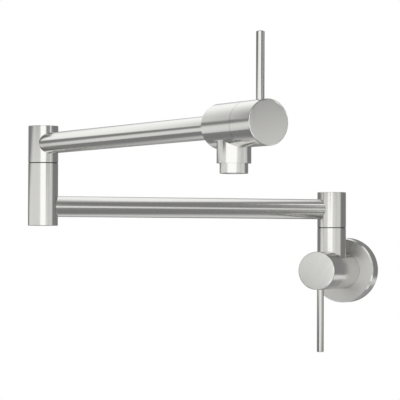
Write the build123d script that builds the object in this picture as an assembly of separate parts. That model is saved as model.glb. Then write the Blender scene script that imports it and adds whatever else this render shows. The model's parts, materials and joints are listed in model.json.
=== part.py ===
from build123d import *

import os
from math import cos, radians, sin, sqrt, tan

# Wall-mounted pot filler: a wall valve, two swinging arms and a second valve at the spout.
# Millimetres. The origin is the centre of the threaded inlet, in the plane of the wall.
# +X runs right along the wall, +Y into the wall and +Z up, so the tap stands out towards -Y.

# ---- Layout ----
riser_from_wall = 47.0  # wall to the axis of the first swivel
lower_arm_length = 263.5  # first swivel axis to knuckle axis
upper_arm_length = 303.0  # knuckle axis to outlet axis
lower_arm_swing = 39.5  # degrees from the wall's plane, arm running out to the left
upper_arm_swing = 37.1  # degrees from the wall's plane, arm running back out to the right
riser_seam_height = 37.9  # inlet axis to the seam of the first swivel
knuckle_seam_height = 91.1  # inlet axis to the seam of the second swivel

# ---- Columns and arms ----
column_diameter = 25.4
column_bevel = 0.4
arm_diameter = 17.7
arm_wall = 1.5
arm_above_seam = 16.4  # a swivel's seam to the axis of the arm that turns on it
waterway_radius = 5.5

# ---- Swivels ----
swivel_gap = 0.8  # the seam that shows between a column and its sleeve
sleeve_length = 31.6
sleeve_roof = 3.4
bearing_wall = 4.2  # column metal round the post
running_clearance = 0.05  # radial, between surfaces that turn on each other
fixed_clearance = 0.03  # radial, between a part and the seat that it is fixed in
post_below_seam = 18.5
post_above_seam = 9.5
post_end_play = 0.5
post_ring_width = 1.5
post_ring_height = 2.0

# ---- Valve barrels ----
barrel_diameter = 33.2
barrel_ahead_of_riser = 16.9
head_ahead_of_outlet = 19.3
head_behind_outlet = 18.5
inlet_thread_radius = 9.3
inlet_thread_length = 15.0

# ---- Quarter-turn cartridge ----
hexagon_height = 6.0
hexagon_clearance = 0.7  # between the hexagon's corners and the knob
thread_shoulder = 1.0  # hexagon flats to cartridge thread
guide_length = 13.0
chamber_length = 8.5
disc_thickness = 2.6
disc_gap = 0.05
seat_seal_height = 2.25
seat_seal_wall = 2.0
cartridge_tube_wall = 1.5
cartridge_tube_end = 0.9  # the cartridge's tube stops this short of its seat
window_width = 9.0
window_margin = 1.6
disc_window_inner_radius = 2.2
disc_window_outer_radius = 6.0
disc_window_angle = 76.0

# ---- Spindle ----
spindle_diameter = 8.0
spindle_top = 17.0  # above the seam between barrel and knob
spindle_flat = 0.8
spindle_flat_length = 7.5
spindle_flange_radius = 8.0
spindle_flange_height = 1.6
dog_width = 4.0
dog_inner_radius = 3.4
dog_depth = 1.0
dog_play = 0.1

# ---- Knobs and levers ----
knob_gap = 0.3
knob_length = 25.7
knob_wall = 3.2
knob_bevel = 0.45
knob_cover_play = 0.7
lever_diameter = 6.0
lever_from_knob_face = 11.0
lever_root = 8.6  # valve axis to the inner end of a lever
lever_tip_bevel = 0.5
wall_lever_reach = 71.0  # valve axis to the lever's tip
spout_lever_reach = 65.0

# ---- Outlet and aerator ----
outlet_diameter = 25.0
outlet_drop = 27.3  # spout axis to the foot of the outlet neck
aerator_diameter = 20.6
aerator_collar_height = 7.4
aerator_bevel = 0.4
aerator_thread_radius = 9.25
aerator_thread_length = 7.0
aerator_shell_wall = 1.2
aerator_washer_height = 1.5
aerator_washer_wall = 2.6
insert_setback = 1.2  # the aerator's mouth to the face of the honeycomb
insert_height = 8.0
honeycomb_cell = 2.6  # across the flats
honeycomb_web = 0.7
honeycomb_rings = 2

# ---- Wall flange ----
flange_diameter = 58.5
flange_thickness = 16.2
flange_bevel = 1.2
flange_rim_wall = 3.0
flange_face_wall = 6.6
flange_clearance = 0.05
flange_off_wall = 0.4
gasket_thickness = 2.0
gasket_width = 3.8

# ---- Worked out from the sizes above ----
column_radius = column_diameter / 2
arm_radius = arm_diameter / 2
barrel_radius = barrel_diameter / 2
lever_radius = lever_diameter / 2
spindle_radius = spindle_diameter / 2

lower_arm_height = riser_seam_height + arm_above_seam
upper_arm_height = knuckle_seam_height + arm_above_seam
neck_foot = upper_arm_height - outlet_drop
lower_direction = Vector(-cos(radians(lower_arm_swing)), -sin(radians(lower_arm_swing)), 0)
upper_direction = Vector(cos(radians(upper_arm_swing)), -sin(radians(upper_arm_swing)), 0)
riser_foot = Vector(0, -riser_from_wall, 0)
knuckle_foot = riser_foot + lower_direction * lower_arm_length
outlet_foot = knuckle_foot + upper_direction * upper_arm_length

bearing_radius = column_radius - bearing_wall
post_radius = bearing_radius - running_clearance
nose_radius = post_radius - post_ring_width
nose_top = post_ring_height - post_below_seam

knob_bore_radius = barrel_radius - knob_wall
hexagon_flat = (knob_bore_radius - hexagon_clearance) * sqrt(3) / 2
cavity_radius = hexagon_flat - thread_shoulder
shank_radius = cavity_radius - fixed_clearance
tube_bore_radius = shank_radius - cartridge_tube_wall
disc_radius = tube_bore_radius - running_clearance
moving_disc_top = -(guide_length + chamber_length)
moving_disc_foot = moving_disc_top - disc_thickness
fixed_disc_top = moving_disc_foot - disc_gap
fixed_disc_foot = fixed_disc_top - disc_thickness
cavity_foot = fixed_disc_foot - seat_seal_height
knob_top = knob_gap + knob_length
lever_height = knob_top - lever_from_knob_face
barrel_length = riser_from_wall + barrel_ahead_of_riser
head_length = head_ahead_of_outlet + head_behind_outlet
insert_radius = aerator_thread_radius - aerator_shell_wall
gasket_radius = flange_diameter / 2 - flange_rim_wall

# ---- Frames that the pieces are drawn in ----
# A valve frame starts at the seam between barrel and knob, with Z out through the knob
# and X along the lever. A swivel frame starts at its seam, with Z up and X along its arm.
WALL_FRAME = Plane(origin=(0, 0, 0), x_dir=(0, 0, -1), z_dir=(0, -1, 0))
WALL_VALVE_FRAME = Plane(origin=(0, -barrel_length, 0), x_dir=(0, 0, -1), z_dir=(0, -1, 0))
SPOUT_VALVE_FRAME = Plane(
    origin=outlet_foot + upper_direction * head_ahead_of_outlet + Vector(0, 0, upper_arm_height),
    x_dir=(0, 0, 1),
    z_dir=upper_direction,
)
RISER_FRAME = Plane(
    origin=riser_foot + Vector(0, 0, riser_seam_height),
    x_dir=lower_direction,
    z_dir=(0, 0, 1),
)
KNUCKLE_FRAME = Plane(
    origin=knuckle_foot + Vector(0, 0, knuckle_seam_height),
    x_dir=upper_direction,
    z_dir=(0, 0, 1),
)
LOWER_ARM_FRAME = Plane(
    origin=riser_foot + Vector(0, 0, lower_arm_height),
    x_dir=(0, 0, 1),
    z_dir=lower_direction,
)
UPPER_ARM_FRAME = Plane(
    origin=knuckle_foot + Vector(0, 0, upper_arm_height),
    x_dir=(0, 0, 1),
    z_dir=upper_direction,
)
RISER_COLUMN = Plane(origin=riser_foot)
KNUCKLE_COLUMN = Plane(origin=knuckle_foot)
OUTLET_COLUMN = Plane(origin=outlet_foot)
ON_FOOT = (Align.CENTER, Align.CENTER, Align.MIN)


# ---- Shapes that recur ----
def place(frame, piece):
    """A piece drawn at the origin, moved to its frame."""
    return frame.location * piece


def bar(radius, foot, top, foot_bevel=0.0, top_bevel=0.0):
    """A round bar along Z between two heights, with bevelled ends where asked."""
    solid = Pos(0, 0, foot) * Cylinder(radius, top - foot, align=ON_FOOT)
    if foot_bevel:
        solid = chamfer(solid.edges().group_by(Axis.Z)[0], foot_bevel)
    if top_bevel:
        solid = chamfer(solid.edges().group_by(Axis.Z)[-1], top_bevel)
    return solid


def ring(outer_radius, inner_radius, foot, top):
    """A flat-sided ring round Z."""
    return bar(outer_radius, foot, top) - bar(inner_radius, foot, top)


def spoke(radius, start, end, height):
    """A round bar along X between two distances from the axis."""
    return Pos(start, 0, height) * Rot(0, 90, 0) * Cylinder(radius, end - start, align=ON_FOOT)


def slab(x_range, width, z_range):
    """A block centred on Y, between two X values and two heights."""
    x_middle = (x_range[0] + x_range[1]) / 2
    block = Box(x_range[1] - x_range[0], width, z_range[1] - z_range[0], align=ON_FOOT)
    return Pos(x_middle, 0, z_range[0]) * block


def hexagon_bar(flat_radius, foot, top):
    """A hexagonal bar along Z, sized from its axis to its flats."""
    outline = Pos(0, 0, foot) * RegularPolygon(flat_radius, 6, major_radius=False)
    return extrude(outline, top - foot)


# ---- Wall flange ----
def wall_flange():
    """A turned cover, hollow behind and bored for the barrel that it slides along."""
    cup_floor = flange_thickness - flange_face_wall
    solid = bar(flange_diameter / 2, flange_off_wall, flange_thickness, top_bevel=flange_bevel)
    solid -= bar(gasket_radius, flange_off_wall, cup_floor)
    return solid - bar(barrel_radius + flange_clearance, flange_off_wall, flange_thickness)


def flange_gasket():
    """The soft ring inside the flange's rim that seals it to the wall."""
    outer_radius = gasket_radius - fixed_clearance
    return ring(outer_radius, outer_radius - gasket_width, 0, gasket_thickness)


# ---- Valve bodies ----
def cartridge_cavity(length):
    """The bore that takes a cartridge and the way in to its seat, for a barrel of that length."""
    return bar(cavity_radius, cavity_foot, 0) + bar(waterway_radius, -length, cavity_foot)


def bearing_bore(seam_height):
    """The bore in the top of a column that a post turns in."""
    foot = seam_height - post_below_seam - post_end_play
    return bar(bearing_radius, foot, seam_height - swivel_gap / 2)


def valve_body():
    """The wall valve: a horizontal barrel with the first column standing on it."""
    column_top = riser_seam_height - swivel_gap / 2
    inlet = bar(inlet_thread_radius, -barrel_length, inlet_thread_length - barrel_length)
    solid = place(WALL_VALVE_FRAME, bar(barrel_radius, -barrel_length, 0))
    solid += place(RISER_COLUMN, bar(column_radius, 0, column_top))
    solid -= place(WALL_VALVE_FRAME, cartridge_cavity(barrel_length) + inlet)
    return solid - place(RISER_COLUMN, bar(waterway_radius, 0, column_top) + bearing_bore(riser_seam_height))


def spout_head():
    """The barrel at the end of the upper arm, with the outlet neck below it."""
    thread_top = neck_foot + aerator_thread_length + aerator_washer_height
    thread = bar(aerator_thread_radius + fixed_clearance, neck_foot, thread_top)
    outlet = bar(waterway_radius, neck_foot, upper_arm_height)
    solid = place(SPOUT_VALVE_FRAME, bar(barrel_radius, -head_length, 0))
    solid += place(OUTLET_COLUMN, bar(outlet_diameter / 2, neck_foot, upper_arm_height))
    solid -= place(SPOUT_VALVE_FRAME, cartridge_cavity(head_length))
    return solid - place(OUTLET_COLUMN, outlet + thread)


# ---- Cartridge ----
def cartridge_housing():
    """The brass cartridge: a hexagon on a threaded shank that is bored for discs and spindle."""
    foot = cavity_foot + cartridge_tube_end
    window_foot = moving_disc_top + window_margin / 2
    window_top = -guide_length - window_margin
    solid = hexagon_bar(hexagon_flat, 0, hexagon_height) + bar(shank_radius, foot, 0)
    solid -= bar(tube_bore_radius, foot, -guide_length)
    solid -= bar(spindle_radius + running_clearance, -guide_length, hexagon_height)
    return solid - slab((-cavity_radius, cavity_radius), window_width, (window_foot, window_top))


def disc_windows(foot, top):
    """The pair of opposite sector windows through a ceramic disc, on the X axis."""
    half_width = disc_window_outer_radius * tan(radians(disc_window_angle / 2))
    corners = [(0, 0), (disc_window_outer_radius, -half_width), (disc_window_outer_radius, half_width)]
    wedge = make_face(Polyline(*corners, close=True))
    annulus = Circle(disc_window_outer_radius) - Circle(disc_window_inner_radius)
    window = extrude(Pos(0, 0, foot) * (annulus & wedge), top - foot)
    return window + Rot(0, 0, 180) * window


def fixed_disc():
    """The ceramic disc that stays still, its windows in line with the lever."""
    windows = disc_windows(fixed_disc_foot, fixed_disc_top)
    return bar(disc_radius, fixed_disc_foot, fixed_disc_top) - windows


def moving_disc():
    """The ceramic disc that the spindle turns, shown closed: its windows lie across the lever."""
    windows = disc_windows(moving_disc_foot, moving_disc_top)
    solid = bar(disc_radius, moving_disc_foot, moving_disc_top) - Rot(0, 0, 90) * windows
    notch_heights = (moving_disc_top - dog_depth - dog_play, moving_disc_top)
    notch_reach = (dog_inner_radius - dog_play, disc_radius)
    notch = slab(notch_reach, dog_width + 2 * dog_play, notch_heights)
    return solid - notch - Rot(0, 0, 180) * notch


def seat_seal():
    """The rubber seat under the fixed disc."""
    return ring(disc_radius, disc_radius - seat_seal_wall, cavity_foot, fixed_disc_foot)


def spindle():
    """The stem, flatted at its top, with a drive flange whose two dogs turn the moving disc."""
    flange_top = -guide_length - running_clearance
    flange_foot = flange_top - spindle_flange_height
    dog_heights = (moving_disc_top - dog_depth, flange_foot)
    dog = slab((dog_inner_radius, spindle_flange_radius), dog_width, dog_heights)
    dog &= bar(spindle_flange_radius, *dog_heights)
    solid = bar(spindle_radius, flange_foot, spindle_top)
    solid += bar(spindle_flange_radius, flange_foot, flange_top)
    solid += dog + Rot(0, 0, 180) * dog
    flat_reach = (spindle_radius - spindle_flat, spindle_radius)
    return solid - slab(flat_reach, spindle_diameter, (spindle_top - spindle_flat_length, spindle_top))


# ---- Knobs and levers ----
def knob():
    """A turned knob, hollowed over the hexagon, bored for the spindle and drilled for the lever."""
    solid = bar(barrel_radius, knob_gap, knob_top, top_bevel=knob_bevel)
    solid -= bar(knob_bore_radius, knob_gap, hexagon_height + knob_cover_play)
    solid -= bar(spindle_radius + fixed_clearance, knob_gap, spindle_top + knob_cover_play)
    return solid - spoke(lever_radius + fixed_clearance, 0, barrel_radius, lever_height)


def lever(reach):
    """The pin lever, from its seat in the knob to its tip."""
    rod = bar(lever_radius, lever_root, reach, top_bevel=lever_tip_bevel)
    return Pos(0, 0, lever_height) * Rot(0, 90, 0) * rod


# ---- Swivels ----
def swivel_post():
    """The hollow post fixed in a sleeve, which turns in the column below and carries the water."""
    solid = ring(post_radius, waterway_radius, -post_below_seam, post_above_seam)
    return solid - ring(post_radius, nose_radius, -post_below_seam, nose_top)


def post_ring():
    """The rubber seal on the nose of a post, squeezed flat against the bore round it."""
    outer_radius = bearing_radius - fixed_clearance
    return ring(outer_radius, nose_radius, -post_below_seam, nose_top - fixed_clearance)


def sleeve():
    """The turning cap of a column, closed on top, with the port of its arm."""
    foot = swivel_gap / 2
    solid = bar(column_radius, foot, sleeve_length, top_bevel=column_bevel)
    solid -= bar(post_radius + fixed_clearance, foot, sleeve_length - sleeve_roof)
    return solid - spoke(waterway_radius, 0, column_radius, arm_above_seam)


# ---- Arms ----
def lower_arm_tube():
    """The tube between the first sleeve and the knuckle column, its ends cut to fit both."""
    solid = place(LOWER_ARM_FRAME, ring(arm_radius, arm_radius - arm_wall, 0, lower_arm_length))
    column = bar(column_radius, 0, lower_arm_height + arm_diameter)
    return solid - place(RISER_COLUMN, column) - place(KNUCKLE_COLUMN, column)


def upper_arm_tube():
    """The tube from the second sleeve to the back of the spout head."""
    end = upper_arm_length - head_behind_outlet
    solid = place(UPPER_ARM_FRAME, ring(arm_radius, arm_radius - arm_wall, 0, end))
    return solid - place(KNUCKLE_COLUMN, bar(column_radius, 0, upper_arm_height + arm_diameter))


def knuckle_column():
    """The fixed half of the knuckle: a column closed at its foot, fed by the lower arm."""
    top = knuckle_seam_height - swivel_gap / 2
    solid = bar(column_radius, riser_seam_height, top, foot_bevel=column_bevel)
    solid -= bar(waterway_radius, lower_arm_height - waterway_radius, top)
    solid -= bearing_bore(knuckle_seam_height)
    port = bar(waterway_radius, lower_arm_length - column_radius, lower_arm_length)
    return place(KNUCKLE_COLUMN, solid) - place(LOWER_ARM_FRAME, port)


# ---- Aerator ----
def aerator_housing():
    """The threaded shell of the aerator, with the collar that shows below the neck."""
    foot = neck_foot - aerator_collar_height
    top = neck_foot + aerator_thread_length
    solid = bar(aerator_diameter / 2, foot, neck_foot, foot_bevel=aerator_bevel)
    solid += bar(aerator_thread_radius, neck_foot, top)
    return solid - bar(insert_radius, foot, top)


def aerator_insert():
    """The plastic insert: a honeycomb of straight cells that smooths the stream."""
    foot = neck_foot - aerator_collar_height + insert_setback
    top = foot + insert_height
    solid = bar(insert_radius - fixed_clearance, foot, top)
    cell = Rot(0, 0, 30) * hexagon_bar(honeycomb_cell / 2, foot, top)
    pitch = honeycomb_cell + honeycomb_web
    for row in range(-honeycomb_rings, honeycomb_rings + 1):
        cells_in_row = 2 * honeycomb_rings + 1 - abs(row)
        for index in range(cells_in_row):
            x = (index - (cells_in_row - 1) / 2) * pitch
            solid -= Pos(x, row * pitch * sqrt(3) / 2, 0) * cell
    return solid


def aerator_washer():
    """The rubber washer that seals the aerator in its neck."""
    foot = neck_foot + aerator_thread_length
    inner_radius = aerator_thread_radius - aerator_washer_wall
    return ring(aerator_thread_radius, inner_radius, foot, foot + aerator_washer_height)


# ---- Assembly ----
def valve_pieces(name, frame, lever_reach):
    """The cartridge and handle of one valve."""
    pieces = {
        f"{name}_cartridge_housing": cartridge_housing(),
        f"{name}_fixed_disc": fixed_disc(),
        f"{name}_seat_seal": seat_seal(),
        f"{name}_moving_disc": moving_disc(),
        f"{name}_spindle": spindle(),
        f"{name}_knob": knob(),
        f"{name}_lever": lever(lever_reach),
    }
    return {node: place(frame, piece) for node, piece in pieces.items()}


def swivel_pieces(name, frame):
    """The turning half of one swivel."""
    pieces = {
        f"{name}_post": swivel_post(),
        f"{name}_post_ring": post_ring(),
        f"{name}_sleeve": sleeve(),
    }
    return {node: place(frame, piece) for node, piece in pieces.items()}


def all_pieces():
    """Every piece of the tap by name."""
    pieces = {
        "wall_flange": place(WALL_FRAME, wall_flange()),
        "flange_gasket": place(WALL_FRAME, flange_gasket()),
        "valve_body": valve_body(),
        "lower_arm_tube": lower_arm_tube(),
        "knuckle_column": knuckle_column(),
        "upper_arm_tube": upper_arm_tube(),
        "spout_head": spout_head(),
        "aerator_housing": place(OUTLET_COLUMN, aerator_housing()),
        "aerator_insert": place(OUTLET_COLUMN, aerator_insert()),
        "aerator_washer": place(OUTLET_COLUMN, aerator_washer()),
    }
    pieces |= valve_pieces("wall", WALL_VALVE_FRAME, wall_lever_reach)
    pieces |= valve_pieces("spout", SPOUT_VALVE_FRAME, spout_lever_reach)
    pieces |= swivel_pieces("riser", RISER_FRAME)
    pieces |= swivel_pieces("knuckle", KNUCKLE_FRAME)
    return pieces


os.makedirs("parts", exist_ok=True)
for node_name, node_shape in all_pieces().items():
    export_step(node_shape, f"parts/{node_name}.step")
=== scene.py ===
import json
from collections import namedtuple
from math import cos, pi, radians, sin

import bmesh
import bpy
from mathutils import Matrix, Vector


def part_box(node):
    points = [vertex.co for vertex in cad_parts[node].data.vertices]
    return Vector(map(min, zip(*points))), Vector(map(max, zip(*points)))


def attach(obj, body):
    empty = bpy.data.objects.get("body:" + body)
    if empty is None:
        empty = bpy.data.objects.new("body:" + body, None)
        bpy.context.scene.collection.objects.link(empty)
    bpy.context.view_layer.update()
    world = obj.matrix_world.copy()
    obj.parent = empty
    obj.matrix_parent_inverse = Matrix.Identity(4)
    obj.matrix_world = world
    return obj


# The looks of a wall-mounted pot filler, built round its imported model.
# Metres, in the model's frame: +X right along the wall, +Y into the wall, +Z up.

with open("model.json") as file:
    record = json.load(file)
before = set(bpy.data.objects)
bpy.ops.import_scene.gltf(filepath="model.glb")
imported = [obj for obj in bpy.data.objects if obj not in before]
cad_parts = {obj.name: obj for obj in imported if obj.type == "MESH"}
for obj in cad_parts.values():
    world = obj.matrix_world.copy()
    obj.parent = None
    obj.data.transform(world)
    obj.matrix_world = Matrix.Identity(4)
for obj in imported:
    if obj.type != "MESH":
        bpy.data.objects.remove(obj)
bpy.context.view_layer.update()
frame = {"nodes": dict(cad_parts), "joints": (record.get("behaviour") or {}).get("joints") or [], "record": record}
joints = {joint["name"]: joint for joint in frame["joints"]}
mounts = {mount["name"]: mount for mount in frame["record"]["mounts"]}

UP = Vector((0, 0, 1))
INTO_WALL = Vector((0, 1, 0))

# ---- Camera, solved from the outlines in the photograph ----
CAMERA_PLACE = Vector((0.535039, -1.721388, 0.018325))
CAMERA_YAW = radians(21.5473)
CAMERA_PITCH = radians(1.4353)
CAMERA_ROLL = radians(0.2087)
CAMERA_LENS = 177.246  # in millimetres, like the sensor
SENSOR_WIDTH = 36.0
CLIP_START = 0.05
CLIP_END = 60.0

# ---- Light levels, where 1 is white ----
WHITE = 1.0
BRIGHT_CARD = 1.62
DARK_CARD = 0.295
DIFFUSE_WORLD = 0.55  # the world's light on rough surfaces

# ---- Key lamp ----
KEY_POWER = 26.0  # watts
KEY_WIDTH = 1.6
KEY_HEIGHT = 1.2
KEY_PLACE = Vector((-0.9, -1.5, 1.7))
KEY_TARGET = Vector((-0.05, -0.2, 0.0))

# ---- Floor ----
FLOOR_HEIGHT = -0.42
FLOOR_SIZE = 5.2
FLOOR_GLOW = 0.42  # what the floor adds where it is seen directly, to read as white
FLOOR_DARK = (0.84, 0.84, 0.84)
FLOOR_PALE = (0.88, 0.88, 0.88)
FLOOR_MOTTLE = 3.0  # patches a metre

# ---- Steel, brushed round the axis of each piece ----
Finish = namedtuple("Finish", "colour roughness stretch face_coarser")
BRUSHED = Finish(colour=(0.600, 0.597, 0.577), roughness=0.184, stretch=0.40, face_coarser=0.0)
# The turned and drawn steels are darker copies of the brushed steel: their lower colour is painted shade, which
# darkens the flange and the levers.
TURNED = BRUSHED._replace(colour=(0.570, 0.567, 0.549), stretch=0.0, face_coarser=0.20)
DRAWN_ROD = BRUSHED._replace(colour=(0.520, 0.517, 0.499), roughness=0.120, stretch=0.30)
TONE_VARIATION = 0.02
ROUGHNESS_VARIATION = 0.02
FINE_GROOVES = 3200.0  # a metre
WIDE_GROOVES = 700.0  # a metre
GROOVE_DEPTH = 0.0000003
GROOVE_DRIFT = 0.0012  # how far a round groove's pattern shifts by the far side of its turn
STRAIGHT_DRIFT = 0.04  # the same for a straight groove, as a share of its length
END_FACE = 0.95  # the least cosine between an end face's normal and the axis
COLUMN_START = 0.00005  # a barrel's radius to where the column on it is brushed its own way

# ---- Other materials, with so many grains a metre ----
Grained = namedtuple("Grained", "dark light roughness metallic grain", defaults=(0.0, 900.0))
MACHINED_STEEL = Grained((0.57, 0.567, 0.549), (0.62, 0.617, 0.597), 0.25, metallic=1.0)
MACHINED_BRASS = Grained((0.62, 0.46, 0.22), (0.72, 0.56, 0.30), 0.30, metallic=1.0)
ALUMINA = Grained((0.84, 0.83, 0.79), (0.90, 0.89, 0.86), 0.22)
# The black rubber colour also serves as painted shade on the seam washers and on the set screws' socket floors.
BLACK_RUBBER_AND_SHADE = Grained((0.018, 0.018, 0.019), (0.035, 0.034, 0.033), 0.62, grain=2400.0)
AERATOR_PLASTIC = Grained((0.70, 0.70, 0.67), (0.78, 0.78, 0.76), 0.42)
GRAIN_GLOSS_VARIATION = 0.06
GRAIN_RELIEF = 0.00003
GRAIN_RELIEF_STRENGTH = 0.3
BROAD_GRAIN_SHARE = 1 / 12  # the colour's patches a metre, as a share of the relief's grains

# ---- Edges ----
WELD_DISTANCE = 0.000002
SQUARE_EDGE_ANGLE = radians(55)
BEVEL_WEIGHT = 100  # large faces set the shading at their edges

# ---- Small pieces ----
# The seam washers are black rings of painted shade in the seams between the columns and their sleeves.
SEAM_SHADE_WASHER_INSET = 0.0004
SEAM_SHADE_WASHER_WALL = 0.0030
SEAM_SHADE_WASHER_PLAY = 0.00003
SET_SCREW_RADIUS = 0.0015
SET_SCREW_SOCKET = 0.00075  # axis to flats
SET_SCREW_SOCKET_FLOOR = 0.00005
SET_SCREW_BEVEL = 0.0002
SET_SCREW_PROUD = 0.00030
SET_SCREW_BELOW_SEAM = 0.0120
SET_SCREW_STEPS = 48  # a multiple of 6, for the socket's corners
THREAD_PITCH = 0.001814
THREAD_DEPTH = 0.0006
THREAD_START = 0.75  # pitches from the bore's mouth to the ridge's crest where it starts
ROUND_STEPS = 96  # faces round a small piece

# ---- Cards ----
CARD_EDGE = 0.03  # the width over which a card fades out, unless it says its own
FLAG_HEIGHT = FLOOR_HEIGHT + 0.01  # of the dark flag that lies over the floor


# ---- Node trees ----
class Tree:
    """Short ways to add nodes to a tree. A value is a constant, a socket or a node's first output."""

    def __init__(self, node_tree):
        self.nodes = node_tree.nodes
        self.links = node_tree.links
        self.nodes.clear()

    def put(self, socket, value):
        """Links a socket, or sets it to a constant."""
        if isinstance(value, bpy.types.Node):
            value = value.outputs[0]
        if isinstance(value, bpy.types.NodeSocket):
            self.links.new(value, socket)
        else:
            socket.default_value = value

    def add(self, kind, inputs=None, **settings):
        """A node with its settings, and its inputs filled by name or index."""
        node = self.nodes.new(kind)
        for name, value in settings.items():
            setattr(node, name, value)
        for key, value in (inputs or {}).items():
            self.put(node.inputs[key], value)
        return node

    def maths(self, operation, *values):
        """A Math node's result."""
        return self.add("ShaderNodeMath", dict(enumerate(values)), operation=operation).outputs[0]

    def vectors(self, operation, *values):
        """A Vector Math node's result: a number for DOT_PRODUCT and LENGTH, or else a vector."""
        keys = (0, "Scale") if operation == "SCALE" else (0, 1)
        node = self.add("ShaderNodeVectorMath", dict(zip(keys, values)), operation=operation)
        return node.outputs["Value" if operation in ("DOT_PRODUCT", "LENGTH") else "Vector"]

    def spread(self, value, low, high):
        """A 0 to 1 value mapped to between low and high."""
        return self.add("ShaderNodeMapRange", {"Value": value, "To Min": low, "To Max": high}).outputs[0]

    def noise(self, place, scale, detail=2.0):
        """Noise from 0 to 1 at a place."""
        inputs = {"Vector": place, "Scale": scale, "Detail": detail}
        return self.add("ShaderNodeTexNoise", inputs).outputs["Fac"]

    def mix(self, kind, share, first, second):
        """The first value where the share is 0, the second where it is 1."""
        inputs = {"Factor": share, "A": first, "B": second}
        return self.add("ShaderNodeMix", inputs, data_type=kind).outputs["Result"]

    def mix_colours(self, share, first, second):
        """Two plain colours mixed."""
        return self.mix("RGBA", share, (*first, 1), (*second, 1))

    def mix_shaders(self, share, first, second):
        """Two shaders mixed."""
        return self.add("ShaderNodeMixShader", {0: share, 1: first, 2: second})

    def relief(self, height, depth, strength=1.0):
        """A normal that rises and falls with a 0 to 1 height."""
        inputs = {"Height": height, "Distance": depth, "Strength": strength}
        return self.add("ShaderNodeBump", inputs).outputs["Normal"]


def new_material(name):
    """A material and its empty tree."""
    material = bpy.data.materials.new(name)
    material.use_nodes = True
    return material, Tree(material.node_tree)


# ---- Brushing ----
Brushing = namedtuple("Brushing", "axis centre straight_ends", defaults=(False,))
BRUSHING_SOCKETS = (
    ("INPUT", "NodeSocketVector", ("Axis", "Centre")),
    ("INPUT", "NodeSocketFloat", ("Straight",)),
    ("OUTPUT", "NodeSocketFloat", ("Fine", "Wide", "Face", "Reach")),
    ("OUTPUT", "NodeSocketVector", ("Across",)),
)


def brushing_group():
    """Grooves left by turning about an axis, with straight grooves on the end faces if asked.

    It gives a fine and a wide pattern, 1 on the end faces, the distance from the axis, and the
    direction across the grooves.
    """
    group = bpy.data.node_groups.new("brushing", "ShaderNodeTree")
    for side, kind, names in BRUSHING_SOCKETS:
        for name in names:
            group.interface.new_socket(name, in_out=side, socket_type=kind)
    tree = Tree(group)
    given = tree.add("NodeGroupInput").outputs
    place = tree.add("ShaderNodeTexCoord").outputs
    axis = given["Axis"]

    offset = tree.vectors("SUBTRACT", place["Object"], given["Centre"])
    along = tree.vectors("DOT_PRODUCT", offset, axis)
    radial = tree.vectors("SUBTRACT", offset, tree.vectors("SCALE", axis, along))
    reach = tree.vectors("LENGTH", radial)
    round_axis = tree.vectors("CROSS_PRODUCT", axis, radial)
    outward = tree.vectors("NORMALIZE", radial)

    # On an end face that is brushed straight, the grooves run level.
    facing = tree.vectors("DOT_PRODUCT", place["Normal"], axis)
    on_face = tree.maths("GREATER_THAN", tree.maths("ABSOLUTE", facing), END_FACE)
    straight_face = tree.maths("MULTIPLY", on_face, given["Straight"])
    level = tree.vectors("CROSS_PRODUCT", axis, UP)
    height = tree.vectors("DOT_PRODUCT", offset, UP)

    # The patterns change fast across the grooves and slowly along them.
    turned_place = tree.vectors(
        "ADD",
        tree.vectors("SCALE", axis, tree.maths("ADD", along, reach)),
        tree.vectors("SCALE", outward, GROOVE_DRIFT),
    )
    straight_place = tree.vectors(
        "ADD",
        tree.vectors("SCALE", UP, height),
        tree.vectors("SCALE", radial, STRAIGHT_DRIFT),
    )
    groove_place = tree.mix("VECTOR", straight_face, turned_place, straight_place)

    grooves = tree.mix("VECTOR", straight_face, round_axis, level)
    turn = tree.add("ShaderNodeVectorTransform", {0: grooves}, vector_type="VECTOR",
                    convert_from="OBJECT", convert_to="WORLD")
    normal = tree.add("ShaderNodeNewGeometry").outputs["Normal"]
    tree.add("NodeGroupOutput", {
        "Fine": tree.noise(groove_place, FINE_GROOVES, detail=1.0),
        "Wide": tree.noise(groove_place, WIDE_GROOVES, detail=3.0),
        "Face": on_face,
        "Reach": reach,
        "Across": tree.vectors("NORMALIZE", tree.vectors("CROSS_PRODUCT", normal, turn)),
    })
    return group


BRUSHING_GROUP = brushing_group()


def brushed(tree, brushing):
    """The outputs of the brushing round one axis."""
    inputs = {"Axis": brushing.axis, "Centre": brushing.centre, "Straight": float(brushing.straight_ends)}
    return tree.add("ShaderNodeGroup", inputs, node_tree=BRUSHING_GROUP).outputs


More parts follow.
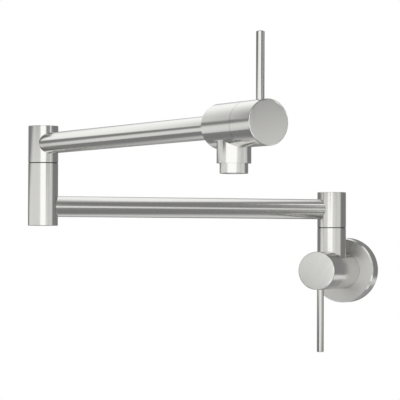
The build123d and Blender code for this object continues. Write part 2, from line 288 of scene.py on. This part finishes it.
def brushed_steel(name, brushing, finish, column=None):
    """Stainless steel brushed round an axis. Reflections stretch across the grooves.

    column is the brushing of a column that stands out from a barrel, and its distance from the
    barrel's axis.
    """
    material, tree = new_material(name)
    grooves = brushed(tree, brushing)
    fine, wide, face, across = (grooves[output] for output in ("Fine", "Wide", "Face", "Across"))
    if column:
        column_brushing, start = column
        on_column = tree.maths("GREATER_THAN", grooves["Reach"], start)
        others = brushed(tree, column_brushing)
        fine = tree.mix("FLOAT", on_column, fine, others["Fine"])
        wide = tree.mix("FLOAT", on_column, wide, others["Wide"])
        face = tree.mix("FLOAT", on_column, face, others["Face"])
        across = tree.mix("VECTOR", on_column, across, others["Across"])
    light = tuple(channel * (1 + TONE_VARIATION) for channel in finish.colour)
    dark = tuple(channel * (1 - TONE_VARIATION) for channel in finish.colour)
    smoothest, coarsest = finish.roughness - ROUGHNESS_VARIATION, finish.roughness + ROUGHNESS_VARIATION
    roughness = tree.spread(fine, smoothest, coarsest)
    if finish.face_coarser:
        roughness = tree.maths("ADD", roughness, tree.maths("MULTIPLY", face, finish.face_coarser))
    shader = tree.add("ShaderNodeBsdfPrincipled", {
        "Metallic": 1.0,
        "Anisotropic": finish.stretch,
        "Base Color": tree.mix_colours(wide, dark, light),
        "Roughness": roughness,
        "Tangent": across,
        "Normal": tree.relief(fine, GROOVE_DEPTH),
    })
    tree.add("ShaderNodeOutputMaterial", {"Surface": shader})
    return material


def grained(name, look):
    """A moulded, sintered or machined surface with a fine grain in its colour, gloss and relief."""
    material, tree = new_material(name)
    place = tree.add("ShaderNodeTexCoord").outputs["Object"]
    fine = tree.noise(place, look.grain, detail=3.0)
    broad = tree.noise(place, look.grain * BROAD_GRAIN_SHARE)
    smoothest, coarsest = look.roughness - GRAIN_GLOSS_VARIATION, look.roughness + GRAIN_GLOSS_VARIATION
    shader = tree.add("ShaderNodeBsdfPrincipled", {
        "Metallic": look.metallic,
        "Base Color": tree.mix_colours(broad, look.dark, look.light),
        "Roughness": tree.spread(fine, smoothest, coarsest),
        "Normal": tree.relief(fine, GRAIN_RELIEF, GRAIN_RELIEF_STRENGTH),
    })
    tree.add("ShaderNodeOutputMaterial", {"Surface": shader})
    return material


# ---- Where the axes are ----
def joint_axis(name):
    """A joint's point and direction at rest."""
    joint = joints[name]
    return Vector(joint["pos_m"]), Vector(joint["axis"]).normalized()


def node_centre(node):
    """The middle of a node's box."""
    low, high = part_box(node)
    return (low + high) / 2


def half_width(node):
    """Half of a node's extent along the wall: the radius of a column or of the wall valve's knob."""
    low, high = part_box(node)
    return (high.x - low.x) / 2


def level_direction(start, end):
    """The level direction from one point to another."""
    return Vector((end.x - start.x, end.y - start.y, 0)).normalized()


riser_point, _ = joint_axis("riser_swivel")
knuckle_point, _ = joint_axis("knuckle_swivel")
wall_point, wall_axis = joint_axis("wall_lever_turn")
spout_point, spout_axis = joint_axis("spout_lever_turn")
lower_axis = level_direction(riser_point, knuckle_point)
outlet_point = node_centre("aerator_housing")


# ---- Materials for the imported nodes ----
def dress(node, material):
    """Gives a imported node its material."""
    slots = frame["nodes"][node].data.materials
    slots.clear()
    slots.append(material)


def round_bevels(node):
    """Shades a turned node's narrow bevels as rounded edges, and leaves its square edges sharp."""
    piece = frame["nodes"][node]
    joined = piece.modifiers.new("joined", "WELD")
    joined.merge_threshold = WELD_DISTANCE
    square = piece.modifiers.new("square_edges", "EDGE_SPLIT")
    square.split_angle = SQUARE_EDGE_ANGLE
    square.use_edge_sharp = False
    rounded = piece.modifiers.new("rounded_bevels", "WEIGHTED_NORMAL")
    rounded.weight = BEVEL_WEIGHT


def dress_steel():
    """Brushed steel on the pieces that show."""
    brushings = {
        "wall_flange": Brushing(wall_axis, wall_point),
        "valve_body": Brushing(wall_axis, wall_point),
        "wall_knob": Brushing(wall_axis, wall_point, straight_ends=True),
        "wall_lever": Brushing(UP, node_centre("wall_lever")),
        "riser_sleeve": Brushing(UP, riser_point),
        "lower_arm_tube": Brushing(lower_axis, node_centre("lower_arm_tube")),
        "knuckle_column": Brushing(UP, knuckle_point),
        "knuckle_sleeve": Brushing(UP, knuckle_point),
        "upper_arm_tube": Brushing(spout_axis, spout_point),
        "spout_head": Brushing(spout_axis, spout_point),
        "spout_knob": Brushing(spout_axis, spout_point, straight_ends=True),
        "spout_lever": Brushing(UP, node_centre("spout_lever")),
        "aerator_housing": Brushing(UP, outlet_point),
    }
    # The flange and the levers take the darker steels, whose lower colour is painted shade.
    finishes = {"wall_flange": TURNED, "wall_lever": DRAWN_ROD, "spout_lever": DRAWN_ROD}
    column_start = half_width("wall_knob") + COLUMN_START
    columns = {
        "valve_body": (Brushing(UP, riser_point), column_start),
        "spout_head": (Brushing(UP, outlet_point), column_start),
    }
    for node, brushing in brushings.items():
        finish = finishes.get(node, BRUSHED)
        dress(node, brushed_steel(f"{node}_steel", brushing, finish, columns.get(node)))
        if finish is not TURNED:
            round_bevels(node)


def dress_others(rubber_and_shade):
    """Brass, alumina, rubber and plastic on the pieces inside."""
    by_slot = {
        "brass": grained("machined_brass", MACHINED_BRASS),
        "alumina": grained("alumina", ALUMINA),
        "black_rubber": rubber_and_shade,
        "aerator_plastic": grained("aerator_plastic", AERATOR_PLASTIC),
    }
    for part in frame["record"]["subparts"]:
        if part["material_slot"] in by_slot:
            dress(part["node"], by_slot[part["material_slot"]])


# ---- Small pieces that only the looks need ----
def add_object(name, data):
    """A new object in the scene."""
    item = bpy.data.objects.new(name, data)
    bpy.context.scene.collection.objects.link(item)
    return item


def add_piece(name, build, materials, body):
    """A mesh piece built in the model's frame, riding on a body."""
    mesh = bpy.data.meshes.new(name)
    shape = bmesh.new()
    build(shape)
    bmesh.ops.recalc_face_normals(shape, faces=shape.faces)
    shape.to_mesh(mesh)
    shape.free()
    for material in materials:
        mesh.materials.append(material)
    piece = add_object(name, mesh)
    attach(piece, body)


def around(centre, axis):
    """Gives a function from a radius, an angle and a height along an axis to the place."""
    turn = axis.to_track_quat("Z", "Y").to_matrix()

    def place(radius, angle, height):
        return centre + turn @ Vector((radius * cos(angle), radius * sin(angle), height))

    return place


def bridge(shape, first, second, closed=True):
    """Faces between two rows of vertices. Closed rows meet their own start."""
    count = len(first)
    for index in range(count if closed else count - 1):
        further = (index + 1) % count
        shape.faces.new((first[index], second[index], second[further], first[further]))


def lathe(shape, outline, centre, axis, closed=True, steps=ROUND_STEPS):
    """Turns an outline of (radius, height) points about an axis. A closed outline makes a ring."""
    place = around(centre, axis)
    rows = []
    for step in range(steps):
        angle = 2 * pi * step / steps
        rows.append([shape.verts.new(place(radius, angle, height)) for radius, height in outline])
    for step in range(steps):
        bridge(shape, rows[step], rows[(step + 1) % steps], closed)
    return rows


def seam_shade_washer(name, swivel_point, column, sleeve, body, material):
    """A black washer that fills the seam between a column and its sleeve: painted shade, which shows the seam as a
    dark line.
    """
    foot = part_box(column)[1].z + SEAM_SHADE_WASHER_PLAY
    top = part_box(sleeve)[0].z - SEAM_SHADE_WASHER_PLAY
    outer = half_width(sleeve) - SEAM_SHADE_WASHER_INSET
    inner = outer - SEAM_SHADE_WASHER_WALL
    outline = ((inner, foot), (outer, foot), (outer, top), (inner, top))
    centre = Vector((swivel_point.x, swivel_point.y, 0))
    add_piece(name, lambda shape: lathe(shape, outline, centre, UP), [material], body)


def set_screw(name, seat, outward, body, materials):
    """A small set screw with a hexagon socket. It stands just proud of its seat on a round surface. Its socket's
    floor takes the second material, black, as painted shade.
    """
    place = around(seat, outward)
    rim = SET_SCREW_PROUD - SET_SCREW_BEVEL
    outline = ((SET_SCREW_RADIUS, -SET_SCREW_PROUD), (SET_SCREW_RADIUS, rim),
               (SET_SCREW_RADIUS - SET_SCREW_BEVEL, SET_SCREW_PROUD))

    def build(shape):
        rows = lathe(shape, outline, seat, outward, closed=False, steps=SET_SCREW_STEPS)
        foot = [row[0] for row in rows]
        face = [row[-1] for row in rows]
        socket_mouth, socket_floor = [], []
        for step in range(SET_SCREW_STEPS):
            angle = 2 * pi * step / SET_SCREW_STEPS
            to_flat = SET_SCREW_SOCKET / cos(angle % (pi / 3) - pi / 6)
            socket_mouth.append(shape.verts.new(place(to_flat, angle, SET_SCREW_PROUD)))
            socket_floor.append(shape.verts.new(place(to_flat, angle, SET_SCREW_SOCKET_FLOOR)))
        shape.faces.new(foot)
        bridge(shape, face, socket_mouth)
        bridge(shape, socket_mouth, socket_floor)
        # The socket's floor is black: painted shade in the recess.
        painted_shade_floor = shape.faces.new(socket_floor)
        painted_shade_floor.material_index = 1

    add_piece(name, build, materials, body)


def inlet_thread(material):
    """The thread in the inlet, as one unbroken ridge that winds in along the wall of the bore."""
    inlet = mounts["inlet"]
    place = around(Vector(inlet["pos_m"]), -Vector(inlet["axis"]))
    bore, length = inlet["dims"]["r_mm"] / 1000, inlet["dims"]["length_mm"] / 1000
    ridge = ((bore, -THREAD_PITCH / 2), (bore - THREAD_DEPTH, 0.0), (bore, THREAD_PITCH / 2))
    turns = int(length / THREAD_PITCH) - 1

    def build(shape):
        rows = []
        for step in range(turns * ROUND_STEPS + 1):
            angle = 2 * pi * step / ROUND_STEPS
            depth = THREAD_PITCH * (step / ROUND_STEPS + THREAD_START)
            rows.append([shape.verts.new(place(radius, angle, depth + height)) for radius, height in ridge])
        for row, after in zip(rows, rows[1:]):
            bridge(shape, row, after)
        shape.faces.new(rows[0])
        shape.faces.new(reversed(rows[-1]))

    add_piece("inlet_thread", build, [material], "wall_valve")


def small_pieces(rubber_and_shade):
    """Black seam washers of painted shade, set screws with painted shade on their socket floors on the sides that
    face away, and the inlet's thread.
    """
    steel = grained("machined_steel", MACHINED_STEEL)
    # Painted shade: black washers in the seams of the two swivels.
    seam_shade_washer("riser_seam_shade_washer", riser_point, "valve_body", "riser_sleeve", "wall_valve", rubber_and_shade)
    seam_shade_washer("knuckle_seam_shade_washer", knuckle_point, "knuckle_column", "knuckle_sleeve", "lower_arm", rubber_and_shade)
    inlet_thread(steel)
    column_radius = half_width("riser_sleeve")
    for name, point, outward, body in (
        ("riser_set_screw", riser_point, INTO_WALL, "wall_valve"),
        ("knuckle_set_screw", knuckle_point, level_direction(outlet_point, knuckle_point), "lower_arm"),
    ):
        seat = point + outward * column_radius - UP * SET_SCREW_BELOW_SEAM
        set_screw(name, seat, outward, body, (steel, rubber_and_shade))


# ---- Floor, cards and lamp ----
def seen_directly(tree):
    """1 for camera, glossy and transmission rays, 0 for the rest."""
    path = tree.add("ShaderNodeLightPath").outputs
    seen = tree.maths("MAXIMUM", path["Is Camera Ray"], path["Is Glossy Ray"])
    return tree.maths("MAXIMUM", seen, path["Is Transmission Ray"])


def pale_floor():
    """A wide pale floor that reads as white, keeps the tap's soft shadow and is clear from below."""
    mesh = bpy.data.meshes.new("floor")
    half = FLOOR_SIZE / 2
    corners = [(x * half, y * half, FLOOR_HEIGHT) for x, y in ((-1, -1), (1, -1), (1, 1), (-1, 1))]
    mesh.from_pydata(corners, [], [(0, 1, 2, 3)])
    floor = add_object("floor", mesh)
    material, tree = new_material("floor_paint")
    mottle = tree.noise(tree.add("ShaderNodeTexCoord").outputs["Object"], FLOOR_MOTTLE)
    paint = tree.add("ShaderNodeBsdfDiffuse", {"Color": tree.mix_colours(mottle, FLOOR_DARK, FLOOR_PALE)})
    glow_strength = tree.maths("MULTIPLY", seen_directly(tree), FLOOR_GLOW)
    glow = tree.add("ShaderNodeEmission", {"Strength": glow_strength})
    both = tree.add("ShaderNodeAddShader", {0: paint, 1: glow})
    from_below = tree.add("ShaderNodeNewGeometry").outputs["Backfacing"]
    surface = tree.mix_shaders(from_below, both, tree.add("ShaderNodeBsdfTransparent"))
    tree.add("ShaderNodeOutputMaterial", {"Surface": surface})
    mesh.materials.append(material)


def studio_world():
    """White all round for camera, glossy and transmission rays, and an even grey for the rest."""
    world = bpy.data.worlds.new("studio")
    bpy.context.scene.world = world
    world.use_nodes = True
    tree = Tree(world.node_tree)
    strength = tree.spread(seen_directly(tree), DIFFUSE_WORLD, WHITE)
    background = tree.add("ShaderNodeBackground", {"Color": (1, 1, 1, 1), "Strength": strength})
    tree.add("ShaderNodeOutputWorld", {"Surface": background})


def card(name, corners, level, feather):
    """A studio card that only reflections see. Each edge fades out over its own share of the width."""
    mesh = bpy.data.meshes.new(name)
    mesh.from_pydata([tuple(corner) for corner in corners], [], [(0, 1, 2, 3)])
    layer = mesh.uv_layers.new(name="card")
    for loop, corner_uv in zip(layer.data, ((0, 0), (1, 0), (1, 1), (0, 1))):
        loop.uv = corner_uv
    board = add_object(name, mesh)
    board.visible_camera = False
    board.visible_diffuse = False
    board.visible_shadow = False
    board.visible_transmission = False
    material, tree = new_material(name)
    place = tree.add("ShaderNodeSeparateXYZ", {0: tree.add("ShaderNodeUVMap")}).outputs
    ramps = []
    for axis, (near, far) in zip("XY", feather):
        from_near = place[axis]
        from_far = tree.maths("SUBTRACT", 1.0, from_near)
        for distance, width in ((from_near, near), (from_far, far)):
            inputs = {"Value": distance, "From Max": width}
            ramps.append(tree.add("ShaderNodeMapRange", inputs, interpolation_type="SMOOTHSTEP").outputs[0])
    cover = ramps[0]
    for ramp in ramps[1:]:
        cover = tree.maths("MULTIPLY", ramp, cover)
    glow = tree.add("ShaderNodeEmission", {"Strength": level})
    surface = tree.mix_shaders(cover, tree.add("ShaderNodeBsdfTransparent"), glow)
    tree.add("ShaderNodeOutputMaterial", {"Surface": surface})
    mesh.materials.append(material)


def panel(name, low, high, level, edges=CARD_EDGE):
    """A flat card between two opposite corners that share one coordinate.

    edges is the width in metres over which its edges fade: one number, or a pair of pairs
    (at its low edge, at its high edge) for the two coordinates that it spans.
    """
    flat = next(axis for axis in range(3) if low[axis] == high[axis])
    across, along = (axis for axis in range(3) if axis != flat)
    corners = []
    for far_across, far_along in ((False, False), (True, False), (True, True), (False, True)):
        corner = list(low)
        corner[across] = high[across] if far_across else low[across]
        corner[along] = high[along] if far_along else low[along]
        corners.append(corner)
    if not isinstance(edges, tuple):
        edges = ((edges, edges), (edges, edges))
    feather = [
        [width / (high[axis] - low[axis]) for width in pair]
        for axis, pair in zip((across, along), edges)
    ]
    card(name, corners, level, feather)


def soft_boxes():
    """The large lights in front, at the sides and above, which give the steel its wide bands."""
    panel("front_softbox", (-0.185, -0.71, -0.40), (0.338, -0.71, 0.40), BRIGHT_CARD, 0.04)
    panel("front_left_softbox", (-0.61, -0.72, -0.085), (-0.16, -0.72, 0.22), 1.08,
          ((0.01, 0.01), (0.08, 0.08)))
    panel("front_right_softbox", (0.31, -0.72, -0.16), (0.80, -0.72, 0.19), 1.12,
          ((0.01, 0.01), (0.06, 0.05)))
    # The left softbox narrows towards the wall.
    left_corners = (
        (-0.60, -0.73, -0.220), (-0.60, -0.07, -0.020),
        (-0.60, -0.07, 0.085), (-0.60, -0.73, 0.260),
    )
    card("left_softbox", left_corners, 1.06, ((0.02, 0.16), (0.12, 0.12)))
    # A flag over its low front corner darkens the left edge of the wall valve's lever.
    panel("left_low_flag", (-0.59, -0.74, -0.26), (-0.59, -0.40, -0.02), DARK_CARD)
    panel("right_softbox", (0.79, -0.73, -0.16), (0.79, 0.09, 0.197), 0.97, ((0.01, 0.16), (0.07, 0.06)))
    panel("top_softbox", (-1.75, -0.41, 0.40), (0.135, 0.54, 0.40), 1.39, ((0.70, 0.15), (0.30, 0.52)))


def low_lights():
    """Faint lights near the floor, for the undersides. Each lies at its own height, so none touch."""
    wide, left = FLAG_HEIGHT + 0.010, FLAG_HEIGHT + 0.014
    panel("floor_light", (-0.85, -0.20, wide), (1.60, 0.42, wide), 0.90, ((0.34, 0.30), (0.24, 0.18)))
    panel("floor_left_light", (-1.05, 0.10, left), (-0.60, 1.15, left), 0.56, ((0.40, 0.05), (0.25, 0.05)))
    panel("back_low_light", (0.17, 0.95, -0.36), (0.50, 0.95, -0.12), 1.10, ((0.06, 0.16), (0.04, 0.08)))


def rim_lights():
    """Four small lights that the rims of the flange and the knobs catch."""
    low = FLAG_HEIGHT + 0.016
    panel("right_high_light", (0.80, -0.42, 0.17), (0.80, -0.22, 0.72), BRIGHT_CARD)
    panel("right_low_light", (0.80, -0.46, -0.42), (0.80, -0.14, -0.14), BRIGHT_CARD, 0.04)
    panel("top_right_light", (0.20, -0.21, 0.405), (0.55, -0.08, 0.405), BRIGHT_CARD, 0.04)
    panel("floor_right_light", (0.34, -0.21, low), (0.80, -0.10, low), BRIGHT_CARD, 0.04)


def dark_surround():
    """The dark flags all round, which the steel shows between the lights."""
    ground = FLAG_HEIGHT
    panel("back_flag", (-3.00, 1.20, ground), (3.00, 1.20, 1.20), DARK_CARD, 0.05)
    panel("floor_flag", (-3.00, -3.00, ground), (3.00, 1.25, ground), DARK_CARD)
    panel("left_flag", (-2.00, -3.00, ground), (-2.00, 1.25, 1.20), DARK_CARD)
    panel("right_flag", (1.60, -3.00, ground), (1.60, 1.25, 1.20), DARK_CARD)
    panel("top_flag", (-3.00, -3.00, 1.20), (3.00, 1.25, 1.20), DARK_CARD)
    panel("front_flag", (-3.00, -1.40, ground), (3.00, -1.40, 1.25), DARK_CARD)


def key_lamp():
    """One large soft lamp above and to the left, which reflections don't see."""
    light = bpy.data.lights.new("key", "AREA")
    light.shape = "RECTANGLE"
    light.size = KEY_WIDTH
    light.size_y = KEY_HEIGHT
    light.energy = KEY_POWER
    lamp = add_object("key", light)
    lamp.location = KEY_PLACE
    lamp.rotation_euler = (KEY_TARGET - KEY_PLACE).to_track_quat("-Z", "Y").to_euler()
    lamp.visible_glossy = False


def camera():
    """The photograph's camera."""
    data = bpy.data.cameras.new("camera")
    data.sensor_width = SENSOR_WIDTH
    data.lens = CAMERA_LENS
    data.clip_start = CLIP_START
    data.clip_end = CLIP_END
    view = add_object("camera", data)
    turn = Matrix.Rotation(CAMERA_YAW, 4, "Z") @ Matrix.Rotation(pi / 2 + CAMERA_PITCH, 4, "X")
    view.matrix_world = Matrix.Translation(CAMERA_PLACE) @ turn @ Matrix.Rotation(CAMERA_ROLL, 4, "Z")
    bpy.context.scene.camera = view


# Black rubber for the rubber pieces, and painted shade for the seam washers and the set screws' socket floors.
rubber_and_shade_material = grained("black_rubber", BLACK_RUBBER_AND_SHADE)
dress_steel()
dress_others(rubber_and_shade_material)
small_pieces(rubber_and_shade_material)
pale_floor()
studio_world()
soft_boxes()
low_lights()
rim_lights()
dark_surround()
key_lamp()
camera()
bpy.context.scene.view_settings.view_transform = "Standard"
